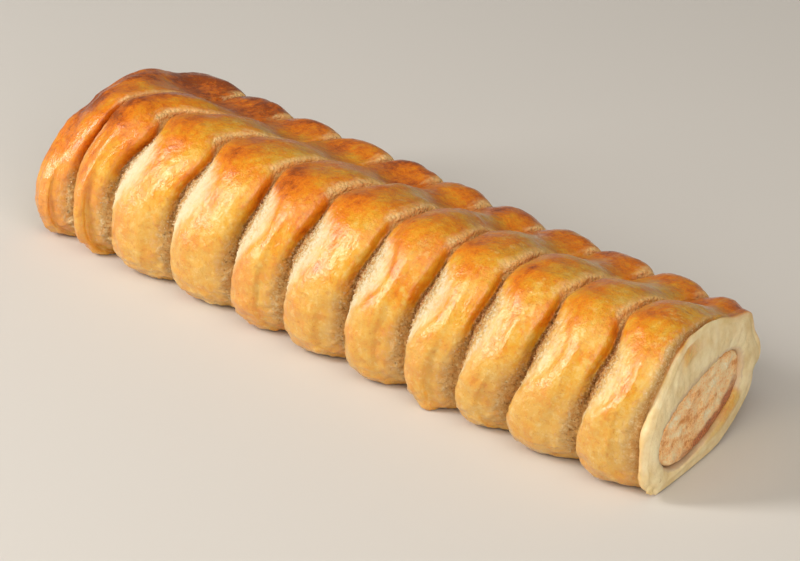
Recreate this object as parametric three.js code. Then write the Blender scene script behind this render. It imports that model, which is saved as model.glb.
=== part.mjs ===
// A long baked puff pastry roll. A thick pastry case, slit across its top into eleven leaning bands and a
// thin end lip, wraps one core of minced filling that runs right through and shows at both cut ends.
// Millimetres. +X runs along the roll, -Y is its front, +Z is up. The origin is under the middle of the base.

import * as THREE from "three";

// The whole roll
const rollLength = 201.6;
const rollWidth = 58;
const rollHeight = 37;
const crownY = -9; // the crown lies in front of the middle
const frontBelly = 11.4; // heights at which the front and the back bulge most
const backBelly = 14;
const frontDomePower = 1.95; // superellipse powers of the section above and below the bellies
const backDomePower = 2.1;
const frontFootPower = 3;
const backFootPower = 1.75;
const footSink = 1.12; // the lower half is drawn this much too deep, then cut flat at the base

// The roll bows forwards in the middle, and is lower at the far end's front and along the near end's back
const bow = 1.6;
const farTaper = 3.4;
const farTaperLength = 17;
const farTaperAngle = 2.5;
const farTaperSpread = 0.42;
const farCrown = 5.4; // and from there up to the far end's crown
const farCrownAngle = 1.8;
const farCrownSpread = 0.5;
const farLift = 1.9; // but fuller behind the crown
const farLiftAngle = 1.15;
const farLiftSpread = 0.3;
const nearTaper = 1.5;
const nearTaperLength = 60;
const nearTaperAngle = 0.3;
const nearTaperSpread = 0.4;

// The crease along the back of the top, and the ridge behind it
const creaseAngle = 0.98;
const creaseDepth = 3;
const creaseSpread = 0.27;
const creaseEndFade = 14; // it runs out towards the ends
const ridgeAngle = 0.6;
const ridgeRise = 2; // on average, in slow waves
const ridgeFarShare = 0.65; // less of it at the far end
const ridgeSpread = 0.17;

// The seam low on the back, where the sheet of pastry overlaps, and the full edge above it
const seamAngle = -0.32;
const seamDepth = 1.3;
const seamSpread = 0.12;
const overlapAngle = 0.02;
const overlapRise = 0.9;
const overlapSpread = 0.2;

// The slits, which fan out a little from the back to the front
const slitCount = 11;
const firstSlitFront = -91;
const frontPitch = 18.8;
const firstSlitBack = -78.6;
const backPitch = 17.13;
const slitFrontY = -26.5; // where the front pitch holds
const slitBackY = 21; // where the back pitch holds
const frontShift = [-0.3, -5.3, -3.4, -1, -1, 0.3, 0.3, 0.6, -0.3, 0.1]; // cut by hand, off the even pitch
const footShift = [0, 0, 0, -0.6, -0.8, -1, -1, -4.1, -5.3, -3.2]; // and leaning further towards the feet
const footShiftZ = 24; // from this height down
const footShiftRun = 18;
const crownShift = [1, -4.9, -3.2, 0.3, 0.6, 2.5, 3.3, 3, 1.9, 0.4];
const crownShiftY = -8;
const crownShiftRun = 9;
const slitBow = 2.2; // the slits bow towards +X over the front shoulder
const slitBowY = -20;
const slitBowRun = 6;
const slitWave = 0.4;
const slitDepth = 3.9;
const slitVary = 0.14; // share by which the depth comes and goes along a slit
const slitFrontEnd = Math.PI + 1.45; // each slit fades out under the front foot
const slitFrontFade = 0.75;
const lastSlitMore = 0.45; // share by which the last slit is deeper at the foot
const slitBackEnd = -0.3; // and low on the back
const slitBackFade = 0.75;
const crownShallow = 0.35; // share by which a slit is shallower at the crown
const crownShallowAngle = 1.45;
const creasePinch = 0.8; // share by which a slit closes behind the crease
const pinchAngle = 0.88;
const pinchSpread = 0.2;

// One band, from the slit before it to the slit after it
const crestRise = 0.8; // puffed middle
const crestRun = 2.6; // from the crest's end to the slit
const shoulderAngle = 2.48; // at the front shoulder the bands lean like shingles
const shoulderSpread = 0.5;
const slopeWidth = 3.2; // torn side that faces -X, wider and gentler at the shoulder
const slopeMore = 6.6;
const firstSlope = 0.4; // the first slit has hardly any
const footSlopeEnd = 6.2; // at the feet the band's side ends this far from the slit
const footTip = 0.4; // and the band stands out more on that side
const lastFootIn = 0.35; // the last band's foot is set back
const floorWidth = 1.1;
const cragRelief = 0.25;

// A tongue of dough that ran out under one band
const tongueX = 34;
const tongueReach = 1.8;
const tongueSpread = 4.5;
const tongueAngle = Math.PI + 0.8;

// The cut ends
const nearSlant = 0.15; // the near end is cut slantwise and bows back
const nearBow = 0.0016;
const farSlant = 0.09;
const farBulge = 1; // the far end swells a little at the front belly
const farBulgeRun = 8;
const endStartY = -27;
const lipFront = 4.4; // thickness of the lip between the last slit and the near end
const lipTop = 1.2;
const lipFrontY = -28.5;
const lipRun = 4;
const lastSlitBack = 0.45;
const lipDrop = 3.3; // it is lower than the bands over the front shoulder
const lipDropAngle = 2.2;
const lipDropSpread = 0.85;
const rimRound = 1.6;

// The filling
const fillingHalfWidth = 18.8;
const fillingHalfHeight = 8.2;
const fillingCentreY = -1;
const fillingCentreZ = 13;
const fillingTilt = 0.2;
const fillingPower = 2.4;
const fillingGap = 0.35; // clear space between filling and pastry
const creviceGap = 0.5; // more of it low in front, where the filling has shrunk
const creviceAngle = 4.1;
const creviceSpread = 0.5;
const fillingRecess = 0.7; // its ends sit this far inside the pastry's
const mincedRelief = 0.45;

// Facets
const topSides = 34;
const baseSides = 8;
const fillingSides = 36;

const bellyHalf = rollWidth / 2 - crestRise;
const crownHeight = rollHeight - crestRise;
const halfLength = rollLength / 2;

// Small helpers

function clamp01(value) {
  return Math.min(1, Math.max(0, value));
}

function smooth(value) {
  const t = clamp01(value);
  return t * t * (3 - 2 * t);
}

function bell(value, middle, spread) {
  return Math.exp(-(((value - middle) / spread) ** 2));
}

function mix(from, to, share) {
  return from + (to - from) * share;
}

// A repeatable draw between -1 and 1 for item number k.
function draw(k, salt) {
  const s = Math.sin(k * 12.9898 + salt * 78.233) * 43758.5453;
  return 2 * (s - Math.floor(s)) - 1;
}

// Slow unevenness of hand-laid dough, between about -1 and 1.
function unevenness(x, angle) {
  return (
    0.5 * Math.sin(0.21 * x + 2.1 * angle) +
    0.3 * Math.sin(0.47 * x - 3.3 * angle + 1.3) +
    0.2 * Math.sin(0.93 * x + 5.7 * angle + 4.1)
  );
}

// The section. Angle 0 is the back belly, a quarter turn the crown, half a turn the front belly.

function powerOf(value, power) {
  return Math.sign(value) * Math.abs(value) ** (2 / power);
}

function bareSection(angle) {
  const c = Math.cos(angle);
  const s = Math.sin(angle);
  const front = c < 0;
  const belly = front ? frontBelly : backBelly;
  const reach = front ? bellyHalf + crownY : bellyHalf - crownY;
  if (s >= 0) {
    const power = front ? frontDomePower : backDomePower;
    const z = belly + (crownHeight - belly) * powerOf(s, power);
    return new THREE.Vector2(crownY + reach * powerOf(c, power), z);
  }
  const power = front ? frontFootPower : backFootPower;
  const z = belly * (1 + footSink * powerOf(s, power));
  return new THREE.Vector2(crownY + reach * powerOf(c, power), Math.max(0, z));
}

function sectionNormal(angle) {
  const step = 0.03;
  const along = bareSection(angle + step).sub(bareSection(angle - step)).normalize();
  return new THREE.Vector2(along.y, -along.x);
}

function fullTurn(angle) {
  return angle > 1.5 * Math.PI ? angle - 2 * Math.PI : angle;
}

// How far the skin stands out from the bare section before any slit is cut.
function skinRise(x, angle) {
  const turn = fullTurn(angle);
  const inside = smooth((halfLength - Math.abs(x)) / creaseEndFade);
  const creased = creaseDepth * inside * (1 + 0.2 * Math.sin(0.33 * x));
  const crease = creased * bell(turn, creaseAngle, creaseSpread);
  const waves = 1 + 0.3 * Math.cos((x + 70) / 48) + 0.22 * Math.cos((x + 22) / 13.5);
  const seam = seamDepth * bell(turn, seamAngle, seamSpread);
  const atFar = smooth(1 - (x + halfLength) / farTaperLength);
  const ridgeHere = ridgeRise * waves * mix(1, ridgeFarShare, atFar);
  const ridge = ridgeHere * bell(turn, ridgeAngle, ridgeSpread);
  const far = farTaper * atFar * bell(turn, farTaperAngle, farTaperSpread);
  const crown = farCrown * atFar * bell(turn, farCrownAngle, farCrownSpread);
  const lift = farLift * atFar * bell(turn, farLiftAngle, farLiftSpread);
  const atNear = smooth(1 - (halfLength - x) / nearTaperLength);
  const near = nearTaper * atNear * bell(turn, nearTaperAngle, nearTaperSpread);
  const overlap = overlapRise * bell(turn, overlapAngle, overlapSpread);
  const tongue = tongueReach * bell(x, tongueX, tongueSpread) * bell(turn, tongueAngle, 0.3);
  return ridge - crease - seam + overlap - far - crown + lift - near + tongue;
}

// The point at x that lies "depth" under the skin.
function skinPoint(x, angle, depth) {
  const flat = bareSection(angle).addScaledVector(sectionNormal(angle), skinRise(x, angle) - depth);
  const sway = bow * ((x / halfLength) ** 2 - 0.5);
  return new THREE.Vector3(x, flat.x + sway, Math.max(0, flat.y));
}

// Angles round the section: even along the top and both sides, fewer under the base.
function sectionAngles() {
  const from = -0.6;
  const to = Math.PI + 0.95;
  const angles = [];
  for (let i = 0; i < topSides; i++) {
    angles.push(mix(from, to, i / (topSides - 1)));
  }
  const under = 2 * Math.PI + from - to;
  for (let i = 1; i < baseSides; i++) {
    angles.push(to + (under * i) / baseSides);
  }
  return angles;
}

// The ends and the slits

function nearEnd(y) {
  const beyond = Math.max(0, y - endStartY);
  return halfLength - 0.5 - nearSlant * beyond - nearBow * beyond ** 2;
}

function farEnd(y) {
  return -halfLength + farSlant * Math.max(0, y - endStartY) - farBulge * bell(y, endStartY, farBulgeRun);
}

function lipThickness(y) {
  return mix(lipTop, lipFront, bell(Math.max(y, lipFrontY), lipFrontY, lipRun));
}

// Where slit k lies along the roll, for a point of the bare section.
function slitMiddle(k, at) {
  const y = at.x;
  const z = at.y;
  if (k === slitCount - 1) {
    return nearEnd(y) - lipThickness(y) - lastSlitBack;
  }
  const share = (y - slitFrontY) / (slitBackY - slitFrontY);
  const atFront = firstSlitFront + k * frontPitch;
  const atBack = firstSlitBack + k * backPitch;
  const low = smooth((footShiftZ - z) / footShiftRun);
  const front = (frontShift[k] + footShift[k] * low) * smooth((-12 - y) / 12);
  const crown = crownShift[k] * bell(y, crownShiftY, crownShiftRun);
  const bowed = slitBow * bell(y, slitBowY, slitBowRun) + slitWave * Math.sin(0.11 * y + 1.7 * k);
  return mix(atFront, atBack, share) + front + crown + bowed;
}

// How far slit k is open at an angle, from 0 to about 1.
function slitOpening(k, turn) {
  const fromFront = smooth((slitFrontEnd - turn) / slitFrontFade);
  const fromBack = smooth((turn - slitBackEnd) / slitBackFade);
  const pinch = 1 - creasePinch * bell(turn, pinchAngle, pinchSpread);
  const crown = 1 - crownShallow * bell(turn, crownShallowAngle, 0.45);
  const lipFade = k === slitCount - 1 ? smooth((turn - 0.95) / 0.5) : 1;
  const vary = 1 + 0.12 * draw(k, 3) + slitVary * Math.sin(2.6 * turn + 2.4 * k);
  const more = k === slitCount - 1 ? lastSlitMore * smooth((turn - 3) / 0.5) : 0;
  return fromFront * fromBack * pinch * crown * lipFade * (vary + more);
}

// How far the bands lean like shingles: 0 at the round front feet, 1 above the front belly.
function shingle(turn) {
  return smooth((3.15 - turn) / 0.65);
}

function lipDropAt(turn) {
  return lipDrop * bell(turn, lipDropAngle, lipDropSpread);
}

function slopeRun(k, turn) {
  const run = slopeWidth + slopeMore * bell(turn, shoulderAngle, shoulderSpread);
  return k === 0 ? firstSlope * run : run;
}

// Where the band behind slit k has risen to its full height again.
function slopeEnd(k, turn) {
  return mix(footSlopeEnd, floorWidth + slopeRun(k, turn), shingle(turn));
}

// Stations along the skin. Each gives a point at an angle.

function farRim() {
  const profile = [
    { back: 0.15, down: 0.9 },
    { back: 0.55, down: 0.25 },
    { back: 1.4, down: 0 },
  ];
  return profile.map((at) => (angle) => {
    const x = farEnd(bareSection(angle).x) + rimRound * at.back;
    return skinPoint(x, angle, rimRound * at.down);
  });
}

// The lip, from the foot of the last slit to the near end. Shares are of its thickness.
function lipStations() {
  const profile = [
    { share: 0.2, down: 0, climb: 0.7 },
    { share: 0.4, down: 0, climb: 0.22 },
    { share: 0.66, down: 0.05, climb: 0 },
    { share: 0.86, down: 0.3, climb: 0 },
    { share: 0.97, down: 0.9, climb: 0 },
  ];
  return profile.map((at) => (angle) => {
    const turn = fullTurn(angle);
    const y = bareSection(angle).x;
    const x = nearEnd(y) - lipThickness(y) * (1 - at.share);
    const low = lipDropAt(turn);
    const floor = slitDepth * slitOpening(slitCount - 1, turn);
    return skinPoint(x, angle, mix(low, Math.max(low, floor), at.climb) + rimRound * at.down);
  });
}

// Places and depths across a slit: where it is shut, at the round feet, and where the bands lean.
function slitStations(k) {
  const wall = [
    { shut: -1.2, round: -4.2, leaning: -crestRun, roundDown: 0.1, down: -0.05 },
    { shut: -0.8, round: -1.6, leaning: 0, roundDown: 0.36, down: 0.2 },
    { shut: -0.5, round: 0.4, leaning: 0.45, roundDown: 0.7, down: 0.56 },
    { shut: -0.2, round: 2, leaning: 0.35, roundDown: 0.97, down: 0.94 },
  ];
  const slope = [
    { shut: 0.2, round: 3.6, slope: 0, roundDown: 1, down: 1 },
    { shut: 0.7, round: 4.6, slope: 0.2, roundDown: 0.55, down: 0.66 },
    { shut: 1.3, round: 5.3, slope: 0.5, roundDown: 0.12, down: 0.28 },
    { shut: 2, round: footSlopeEnd, slope: 1, roundDown: -0.12, down: 0.02 },
  ];
  const profile = k === slitCount - 1 ? wall : [...wall, ...slope];
  return profile.map((at) => (angle) => {
    const turn = fullTurn(angle);
    const open = slitOpening(k, turn);
    const lean = shingle(turn);
    const leaning = at.slope === undefined ? at.leaning : floorWidth + at.slope * slopeRun(k, turn);
    const wide = mix(at.round, leaning, lean);
    const deep = mix(at.roundDown, at.down, lean);
    const crag = at.down > 0.3 ? cragRelief * open * draw(k * 40 + Math.round(angle * 9), at.down * 7) : 0;
    const x = slitMiddle(k, bareSection(angle)) + mix(at.shut, wide, clamp01(open * 1.2)) + crag;
    return skinPoint(x, angle, slitDepth * open * deep + crag);
  });
}

function crestStation(k, share) {
  return (angle) => {
    const turn = fullTurn(angle);
    const bare = bareSection(angle);
    const from = k === 0 ? farEnd(bare.x) + rimRound : slitMiddle(k - 1, bare) + slopeEnd(k - 1, turn);
    const to = slitMiddle(k, bare) - crestRun;
    const x = mix(from, to, share);
    const puff = crestRise * (1 + 0.4 * draw(k, 4)) * smooth((slitFrontEnd - 0.1 - turn) / 0.6);
    const tipped = footTip * (1 - shingle(turn)) * (share < 0.5 ? 1 : -0.5);
    const uneven = 0.4 * unevenness(x, turn) * clamp01(Math.sin(turn) + 0.8);
    const setBack = k === slitCount - 1 ? lastFootIn * smooth((turn - 2.9) / 0.5) : 0;
    return skinPoint(x, angle, setBack - puff - tipped - uneven);
  };
}

function skinStations() {
  const stations = farRim();
  for (let k = 0; k < slitCount; k++) {
    stations.push(crestStation(k, 0.3));
    stations.push(crestStation(k, 0.72));
    stations.push(...slitStations(k));
  }
  stations.push(...lipStations());
  return stations;
}

// The filling's outline, grown by a clear gap for the pastry's bore.
function fillingOutline(angle, grow) {
  const u = (fillingHalfWidth + grow) * powerOf(Math.cos(angle), fillingPower);
  const v = (fillingHalfHeight + grow) * powerOf(Math.sin(angle), fillingPower);
  return new THREE.Vector2(
    fillingCentreY + u * Math.cos(fillingTilt) - v * Math.sin(fillingTilt),
    fillingCentreZ + u * Math.sin(fillingTilt) + v * Math.cos(fillingTilt),
  );
}

// A ring between the rim and the bore on a cut end.
function faceRing(endOf, outwards, share, bulge) {
  return (angle) => {
    const low = outwards > 0 ? lipDropAt(fullTurn(angle)) : 0;
    const rim = skinPoint(endOf(bareSection(angle).x), angle, rimRound * 0.9 + low);
    const bore = fillingOutline(angle, fillingGap + creviceGap * bell(angle, creviceAngle, creviceSpread));
    const y = mix(rim.y, bore.x, share);
    const z = mix(rim.z, bore.y, share);
    const wobble = 0.3 * unevenness(y * 2.5, angle * 2 + outwards);
    return new THREE.Vector3(endOf(y) + outwards * (bulge + wobble), y, z);
  };
}

// A closed surface from rings of points that run round the X axis. The last ring joins the first one
// where "closes" is set, and otherwise a middle point caps each end.
function ringSurface(rings, closes) {
  const sides = rings[0].length;
  const points = rings.flat();
  const index = [];
  const last = closes ? rings.length : rings.length - 1;
  for (let r = 0; r < last; r++) {
    const here = r * sides;
    const next = ((r + 1) % rings.length) * sides;
    for (let i = 0; i < sides; i++) {
      const j = (i + 1) % sides;
      index.push(here + i, here + j, next + j);
      index.push(here + i, next + j, next + i);
    }
  }
  if (!closes) {
    for (const r of [0, rings.length - 1]) {
      const middle = rings[r].reduce((sum, p) => sum.add(p), new THREE.Vector3()).divideScalar(sides);
      const centre = points.push(middle) - 1;
      for (let i = 0; i < sides; i++) {
        const a = r * sides + i;
        const b = r * sides + ((i + 1) % sides);
        if (r === 0) {
          index.push(centre, b, a);
        } else {
          index.push(centre, a, b);
        }
      }
    }
  }
  const geometry = new THREE.BufferGeometry().setFromPoints(points);
  geometry.setIndex(index);
  geometry.computeVertexNormals();
  return geometry;
}

function pastryGeometry() {
  const angles = sectionAngles();
  const circuit = [
    ...skinStations(),
    faceRing(nearEnd, 1, 0.45, 0.3),
    faceRing(nearEnd, 1, 1, -0.3),
    faceRing(farEnd, -1, 1, -0.3),
    faceRing(farEnd, -1, 0.45, 0.3),
  ];
  return ringSurface(circuit.map((ring) => angles.map(ring)), true);
}

// Lumps of the minced filling, between about -1 and 1.
function minced(y, z) {
  const lumps = Math.sin(1.1 * y + 0.6 * z) * Math.sin(1.2 * z - 0.5 * y + 2);
  return 0.6 * lumps + 0.4 * Math.sin(2.3 * y - 1.9 * z);
}

function fillingGeometry() {
  const ringAt = (endOf, inwards, share, back) =>
    Array.from({ length: fillingSides }, (unused, i) => {
      const outline = fillingOutline((2 * Math.PI * i) / fillingSides, 0);
      const y = mix(fillingCentreY, outline.x, share);
      const z = mix(fillingCentreZ, outline.y, share);
      const grain = share < 1 ? mincedRelief * minced(y, z) : 0;
      return new THREE.Vector3(endOf(y) + inwards * (fillingRecess + back + grain), y, z);
    });
  const face = [
    { share: 0.18, back: 0 },
    { share: 0.36, back: 0 },
    { share: 0.55, back: 0 },
    { share: 0.75, back: 0 },
    { share: 0.93, back: 0.1 },
    { share: 1, back: 0.9 },
  ];
  const far = face.map((at) => ringAt(farEnd, 1, at.share, at.back));
  const near = face.map((at) => ringAt(nearEnd, -1, at.share, at.back)).reverse();
  return ringSurface([...far, ...near], false);
}

function namedMesh(name, geometry, colour, roughness) {
  const material = new THREE.MeshStandardMaterial({ color: colour, roughness, metalness: 0 });
  const mesh = new THREE.Mesh(geometry, material);
  mesh.name = name;
  return mesh;
}

const pastryRoll = new THREE.Group();
pastryRoll.add(namedMesh("pastry", pastryGeometry(), 0xd9963c, 0.45));
pastryRoll.add(namedMesh("filling", fillingGeometry(), 0xcfa06a, 0.7));

export default pastryRoll;
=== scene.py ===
import bpy
import math
import numpy as np
from mathutils import Matrix, Vector


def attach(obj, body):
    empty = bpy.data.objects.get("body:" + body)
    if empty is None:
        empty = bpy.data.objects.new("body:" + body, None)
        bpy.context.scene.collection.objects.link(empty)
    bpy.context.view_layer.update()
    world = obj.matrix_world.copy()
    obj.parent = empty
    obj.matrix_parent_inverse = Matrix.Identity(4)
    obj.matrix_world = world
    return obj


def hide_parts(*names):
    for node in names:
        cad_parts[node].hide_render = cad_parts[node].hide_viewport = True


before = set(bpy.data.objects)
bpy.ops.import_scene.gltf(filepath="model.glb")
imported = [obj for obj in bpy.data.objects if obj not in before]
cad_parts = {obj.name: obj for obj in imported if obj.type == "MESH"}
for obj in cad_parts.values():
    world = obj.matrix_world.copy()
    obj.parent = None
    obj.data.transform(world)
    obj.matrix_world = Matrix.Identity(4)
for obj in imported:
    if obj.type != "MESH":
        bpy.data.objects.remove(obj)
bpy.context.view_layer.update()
mm = 0.001


# small helpers for the shape

def clamp01(value):
    return np.clip(value, 0.0, 1.0)


def smooth(value):
    t = clamp01(value)
    return t * t * (3 - 2 * t)


def fadeIn(value, start, run):  # 0 before the start, 1 after the run; a minus run fades out
    return smooth((value - start) / run)


def bell(value, middle, spread):
    return np.exp(-(((value - middle) / spread) ** 2))


def mix(low, high, share):
    return low + (high - low) * share


def draw(item, salt):  # the same repeatable draws as in the solid
    s = np.sin(item * 12.9898 + salt * 78.233) * 43758.5453
    return 2 * (s - np.floor(s)) - 1


def powerOf(value, power):
    return np.sign(value) * np.abs(value) ** (2 / power)


def unevenness(x, turn):
    return (0.5 * np.sin(0.21 * x + 2.1 * turn)
            + 0.3 * np.sin(0.47 * x - 3.3 * turn + 1.3)
            + 0.2 * np.sin(0.93 * x + 5.7 * turn + 4.1))


def table(columns, *rows):
    return [dict(zip(columns.split(), row)) for row in rows]


# the pastry case in millimetres, with the solid's own sizes; angles run from the back over the top
roll = {
    "length": 201.6, "width": 58.0, "height": 37.0, "crownY": -9.0, "bow": 1.6,
    "frontBelly": 11.4, "backBelly": 14.0, "footSink": 1.12,
    "frontDome": 1.95, "backDome": 2.1, "frontFoot": 3.0, "backFoot": 1.75,
    "farTaper": 3.4, "farTaperLength": 17.0, "farTaperAngle": 2.5, "farTaperSpread": 0.42,
    "farCrown": 5.4, "farCrownAngle": 1.8, "farCrownSpread": 0.5,
    "farLift": 1.9, "farLiftAngle": 1.15, "farLiftSpread": 0.3,
    "nearTaper": 1.5, "nearTaperAngle": 0.3, "nearTaperSpread": 0.4, "nearTaperLength": 60.0,
    "creaseAngle": 0.98, "creaseDepth": 3.0, "creaseSpread": 0.27, "creaseEndFade": 14.0,
    "creaseWave": (0.2, 0.33),  # share and rate
    "ridgeAngle": 0.6, "ridgeRise": 2.0, "ridgeSpread": 0.17, "ridgeFarEnd": 0.65,
    "ridgeSwells": ((0.3, 70, 48), (0.22, 22, 13.5)),  # share, start and run of its swells
    "seamAngle": -0.32, "seamDepth": 1.3, "seamSpread": 0.12,
    "overlapAngle": 0.02, "overlapRise": 0.9, "overlapSpread": 0.2,
    "slits": 11, "firstFront": -91.0, "frontPitch": 18.8, "firstBack": -78.6, "backPitch": 17.13,
    "slitFrontY": -26.5, "slitBackY": 21.0, "slitWave": 0.4, "slitDepth": 3.9, "slitVary": 0.14,
    "slitBow": 2.2, "slitBowY": -20.0, "slitBowSpread": 6.0,
    "frontShiftY": -12.0, "frontShiftRun": 12.0, "footShiftZ": 24.0, "footShiftRun": 18.0,
    "crownShiftY": -8.0, "crownShiftRun": 9.0,
    "frontShift": (-0.3, -5.3, -3.4, -1.0, -1.0, 0.3, 0.3, 0.6, -0.3, 0.1),  # each slit's place on the front
    "footShift": (0.0, 0.0, 0.0, -0.6, -0.8, -1.0, -1.0, -4.1, -5.3, -3.2),  # and further at the foot
    "crownShift": (1.0, -4.9, -3.2, 0.3, 0.6, 2.5, 3.3, 3.0, 1.9, 0.4),  # and on the crown
    "slitFrontEnd": math.pi + 1.45, "slitFrontFade": 0.75, "slitBackEnd": -0.3, "slitBackFade": 0.75,
    "crownShallow": 0.35, "crownShallowAngle": 1.45, "crownShallowSpread": 0.45,
    "creasePinch": 0.8, "pinchAngle": 0.88, "pinchSpread": 0.2,
    "crestRise": 0.8, "crestRun": 2.6, "crestVary": 0.4, "crestEase": 0.55, "crestUneven": 0.4,
    "crestFootIn": 0.1, "crestFootFade": 0.6,
    "shoulderAngle": 2.48, "shoulderSpread": 0.5,
    "slopeWidth": 3.2, "slopeMore": 6.6, "firstSlope": 0.4, "footSlopeEnd": 6.2, "floorWidth": 1.1,
    "footTip": 0.4, "lastFootIn": 0.35, "lastGape": 0.45,
    "tongueX": 34.0, "tongueReach": 1.8, "tongueSpread": 4.5, "tongueAngle": math.pi + 0.8, "tongueTurn": 0.3,
    "nearSlant": 0.15, "nearBow": 0.0016, "nearInset": 0.5,
    "farSlant": 0.09, "endStartY": -27.0, "farBulge": 1.0, "farBulgeRun": 8.0,
    "lipFront": 4.4, "lipTop": 1.2, "lipSpread": 4.0, "lipFrontY": -28.5, "lipGap": 0.45,
    "lipDrop": 3.3, "lipDropAngle": 2.2, "lipDropSpread": 0.85, "rimRound": 1.6,
    "baseBack": -0.6, "backTop": 0.3, "baseFront": math.pi + 1.05,
    "sidesTop": 186, "sidesBack": 18, "sidesBase": 12,
}
filling = {
    "halfWidth": 18.8, "halfHeight": 8.2, "centreY": -1.0, "centreZ": 13.0, "tilt": 0.2, "power": 2.4,
    "gap": 0.35, "crevice": 0.5, "creviceAngle": 4.1, "creviceSpread": 0.5, "recess": 0.7,
    "friedAngle": 5.0, "friedSpread": 1.2, "friedFrom": 0.45, "friedRun": 0.42,
    "sides": 120, "faceRings": 30, "flatTo": 0.95, "edges": ((0.98, 0.25), (1.0, 0.9)),
    "lumpMm": 3.0, "lumpHigh": 0.9,
}
bellyHalf = roll["width"] / 2 - roll["crestRise"]
crownHeight = roll["height"] - roll["crestRise"]
halfLength = roll["length"] / 2
lastSlit = roll["slits"] - 1

# stretches of the section: the angle where each begins and its run, and with a minus run it fades out
zones = {
    "leaning": (3.15, -0.65), "crown": (1.95, -0.3), "lower": (2.25, 0.8),
    "foot": (2.7, 0.4), "footEdge": (3.25, 0.4),
    "paleTop": (1.4, 0.4), "paleFoot": (3.25, -0.4), "tornTop": (1.3, 0.35), "tornFoot": (3.4, -0.5),
    "slopeTop": (1.75, 0.5), "setBack": (2.9, 0.5), "endCutTop": (0.95, 0.5), "endCutFoot": (3.0, 0.5),
    "lipBack": (1.3, -0.4), "baseFront": (math.pi + 1.2, -0.3), "baseBack": (-0.9, 0.3),
    "shredTop": (1.8, 0.3), "shredFoot": (3.1, -0.4),
}


def zone(turn, name):
    return fadeIn(turn, *zones[name])


def bareSection(turn):
    c, s = np.cos(turn), np.sin(turn)
    front = c < 0
    belly = np.where(front, roll["frontBelly"], roll["backBelly"])
    reach = np.where(front, bellyHalf + roll["crownY"], bellyHalf - roll["crownY"])
    dome = np.where(front, roll["frontDome"], roll["backDome"])
    foot = np.where(front, roll["frontFoot"], roll["backFoot"])
    power = np.where(s >= 0, dome, foot)
    y = roll["crownY"] + reach * powerOf(c, power)
    zTop = belly + (crownHeight - belly) * powerOf(s, power)
    zFoot = np.maximum(0, belly * (1 + roll["footSink"] * powerOf(s, power)))
    return y, np.where(s >= 0, zTop, zFoot)


def sectionNormal(turn):
    y1, z1 = bareSection(turn + 0.03)
    y0, z0 = bareSection(turn - 0.03)
    size = np.hypot(y1 - y0, z1 - z0)
    return (z1 - z0) / size, -(y1 - y0) / size


def skinPoint(x, turn, depth):
    inside = smooth((halfLength - np.abs(x)) / roll["creaseEndFade"])
    farEndShare = smooth(1 - (x + halfLength) / roll["farTaperLength"])
    nearEndShare = smooth(1 - (halfLength - x) / roll["nearTaperLength"])
    waveShare, waveRate = roll["creaseWave"]
    crease = roll["creaseDepth"] * inside * (1 + waveShare * np.sin(waveRate * x))
    rise = -crease * bell(turn, roll["creaseAngle"], roll["creaseSpread"])
    longSwell, shortSwell = [share * np.cos((x + start) / run) for share, start, run in roll["ridgeSwells"]]
    ridge = roll["ridgeRise"] * (1 + longSwell + shortSwell)
    ridge = ridge * mix(roll["ridgeFarEnd"], 1, smooth((x + halfLength) / roll["farTaperLength"]))
    rise = rise + ridge * bell(turn, roll["ridgeAngle"], roll["ridgeSpread"])
    rise = rise - roll["seamDepth"] * bell(turn, roll["seamAngle"], roll["seamSpread"])
    rise = rise + roll["overlapRise"] * bell(turn, roll["overlapAngle"], roll["overlapSpread"])
    for name, sign, share in (("farTaper", -1, farEndShare), ("farCrown", -1, farEndShare),
                              ("farLift", 1, farEndShare), ("nearTaper", -1, nearEndShare)):
        rise = rise + sign * roll[name] * share * bell(turn, roll[name + "Angle"], roll[name + "Spread"])
    tongue = roll["tongueReach"] * bell(x, roll["tongueX"], roll["tongueSpread"])
    rise = rise + tongue * bell(turn, roll["tongueAngle"], roll["tongueTurn"])
    y, z = bareSection(turn)
    ny, nz = sectionNormal(turn)
    sway = roll["bow"] * ((x / halfLength) ** 2 - 0.5)
    return np.stack([x, y + ny * (rise - depth) + sway, np.maximum(0, z + nz * (rise - depth))], -1)


def nearEnd(y):
    beyond = np.maximum(0, y - roll["endStartY"])
    return halfLength - roll["nearInset"] - roll["nearSlant"] * beyond - roll["nearBow"] * beyond ** 2


def farEnd(y):
    slant = roll["farSlant"] * np.maximum(0, y - roll["endStartY"])
    return -halfLength + slant - roll["farBulge"] * bell(y, roll["endStartY"], roll["farBulgeRun"])


def lipThickness(y):
    front = bell(np.maximum(y, roll["lipFrontY"]), roll["lipFrontY"], roll["lipSpread"])
    return mix(roll["lipTop"], roll["lipFront"], front)


def slitMiddle(k, y, z):
    if k == lastSlit:
        return nearEnd(y) - lipThickness(y) - roll["lipGap"]
    share = (y - roll["slitFrontY"]) / (roll["slitBackY"] - roll["slitFrontY"])
    front = roll["firstFront"] + k * roll["frontPitch"]
    back = roll["firstBack"] + k * roll["backPitch"]
    low = smooth((roll["footShiftZ"] - z) / roll["footShiftRun"])
    onFront = smooth((roll["frontShiftY"] - y) / roll["frontShiftRun"])
    shift = (roll["frontShift"][k] + roll["footShift"][k] * low) * onFront
    shift = shift + roll["crownShift"][k] * bell(y, roll["crownShiftY"], roll["crownShiftRun"])
    shift = shift + roll["slitBow"] * bell(y, roll["slitBowY"], roll["slitBowSpread"])
    return mix(front, back, share) + shift + roll["slitWave"] * np.sin(0.11 * y + 1.7 * k)


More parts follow.
